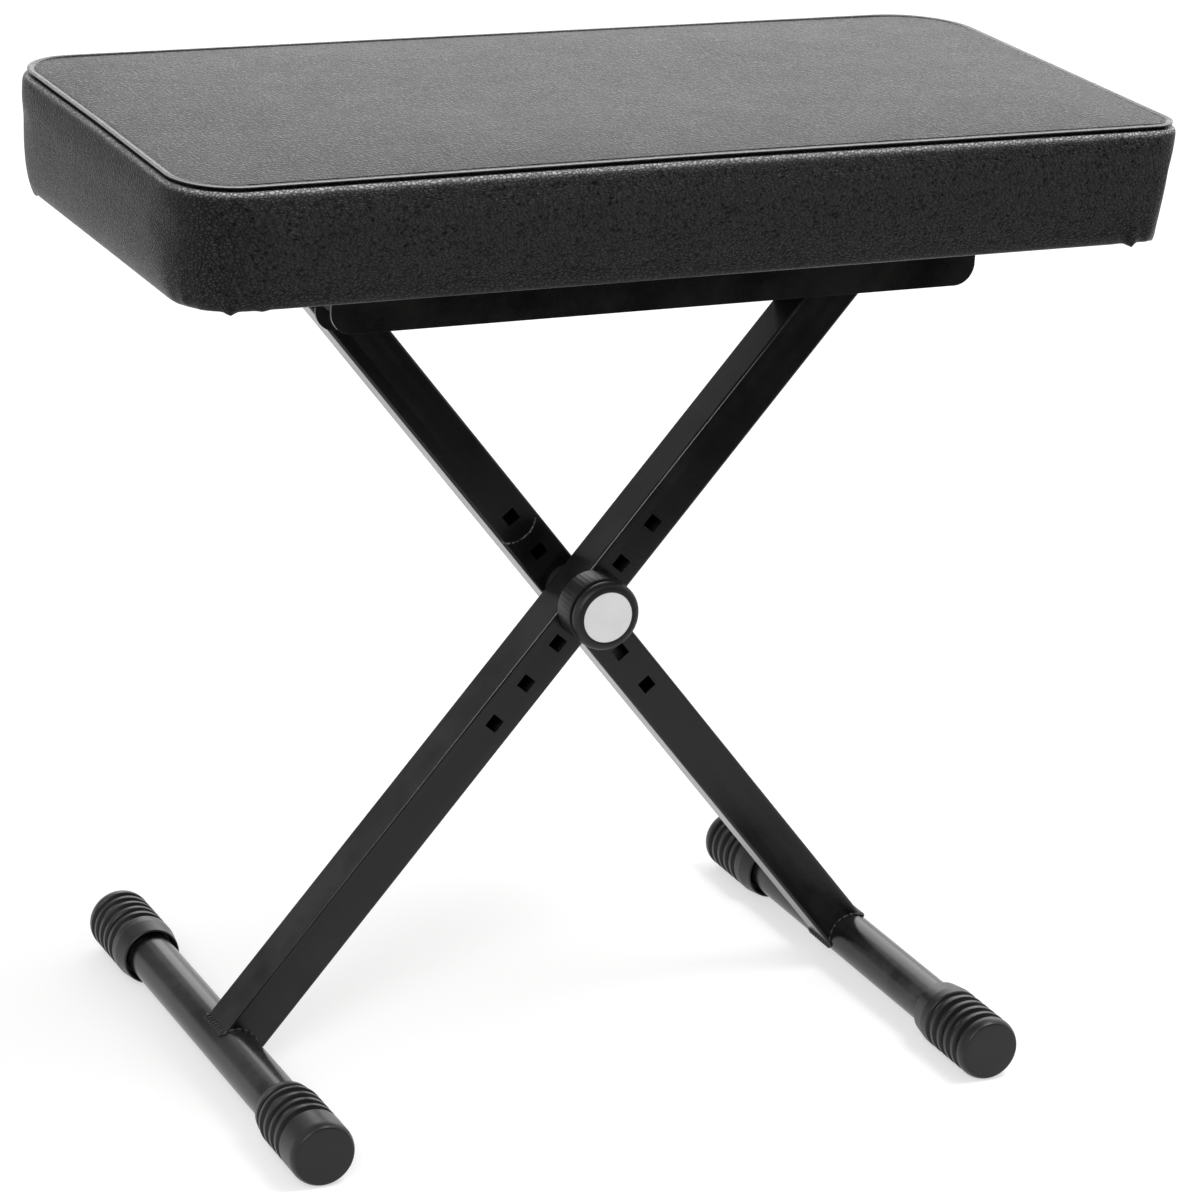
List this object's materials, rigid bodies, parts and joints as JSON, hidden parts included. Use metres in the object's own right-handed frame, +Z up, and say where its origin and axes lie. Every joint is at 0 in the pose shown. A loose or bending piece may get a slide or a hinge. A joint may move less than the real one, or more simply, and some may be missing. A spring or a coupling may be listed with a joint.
{
  "type": "folding keyboard bench",
  "caption": "Padded rectangular bench on a steel rail, carried by crossed square legs that pivot on one clamp bolt with a hand knob and fold up under the seat.",
  "frame": {"origin": "on the floor, under the middle of the bench, in the plane halfway between the two legs", "axes": "+Z up, +X along the seat to the right as seen from the knob's side, the knob's side faces -Y"},
  "size_m": [0.6, 0.3536, 0.5845],
  "materials": {
    "cover": "black pebbled leatherette, satin",
    "foam": "grey upholstery foam",
    "board": "raw plywood",
    "frame_paint": "black powder coat, semi-gloss",
    "zinc_steel": "zinc plated",
    "black_steel": "black plated",
    "black_plastic": "moulded black",
    "nylon": "black nylon",
    "brass": "machined",
    "light_grey": "plain light grey disc"
  },
  "bodies": {
    "seat": {"seat_board": "board", "seat_foam": "foam", "cover_top_panel": "cover", "cover_side_band": "cover", "cover_piping": "cover", "seat_rail": "frame_paint", "rail_screw_1": "zinc_steel", "rail_screw_2": "zinc_steel", "rail_screw_3": "zinc_steel", "rail_screw_4": "zinc_steel", "pivot_bolt": "zinc_steel", "pivot_washer": "zinc_steel", "pivot_nut": "zinc_steel"},
    "leg_b": {"leg_b_tube": "frame_paint", "leg_b_bush_front": "nylon", "leg_b_bush_rear": "nylon", "floor_tube_b": "frame_paint", "floor_cap_b_front": "black_plastic", "floor_cap_b_rear": "black_plastic", "cross_bolt": "black_steel", "friction_disc": "nylon"},
    "leg_a": {"leg_a_tube": "frame_paint", "leg_a_end_plug": "black_plastic", "leg_a_bush_front": "nylon", "leg_a_bush_rear": "nylon", "slide_pin": "zinc_steel", "slide_pin_clip": "black_steel", "floor_tube_a": "frame_paint", "floor_cap_a_front": "black_plastic", "floor_cap_a_rear": "black_plastic"},
    "knob_washer": {"knob_washer": "zinc_steel"},
    "knob": {"knob_body": "black_plastic", "knob_insert": "brass", "knob_disc": "light_grey"}
  },
  "joints": [
    {"name": "leg_b_fold", "type": "hinge", "parent": "seat", "child": "leg_b", "pos_m": [-0.15415, 0, 0.4666], "axis": [0, -1, 0], "range_deg": [0, 42]},
    {"name": "leg_a_scissor", "type": "hinge", "parent": "leg_b", "child": "leg_a", "pos_m": [0.002, 0, 0.2765], "axis": [0, 1, 0], "range_deg": [0, 81.2]},
    {"name": "knob_travel", "type": "slide", "parent": "leg_b", "child": "knob_washer", "axis": [0, -1, 0], "range_m": [0, 0.0125]},
    {"name": "knob_turn", "type": "hinge", "parent": "knob_washer", "child": "knob", "pos_m": [0.002, 0, 0.2765], "axis": [0, -1, 0], "range_deg": [0, 3600]}
  ],
  "couplings": [
    {"joint": "leg_a_scissor", "follows": "leg_b_fold", "ratio": 1.932},
    {"joint": "knob_turn", "follows": "knob_travel", "rad_per_m": 5026.5}
  ]
}
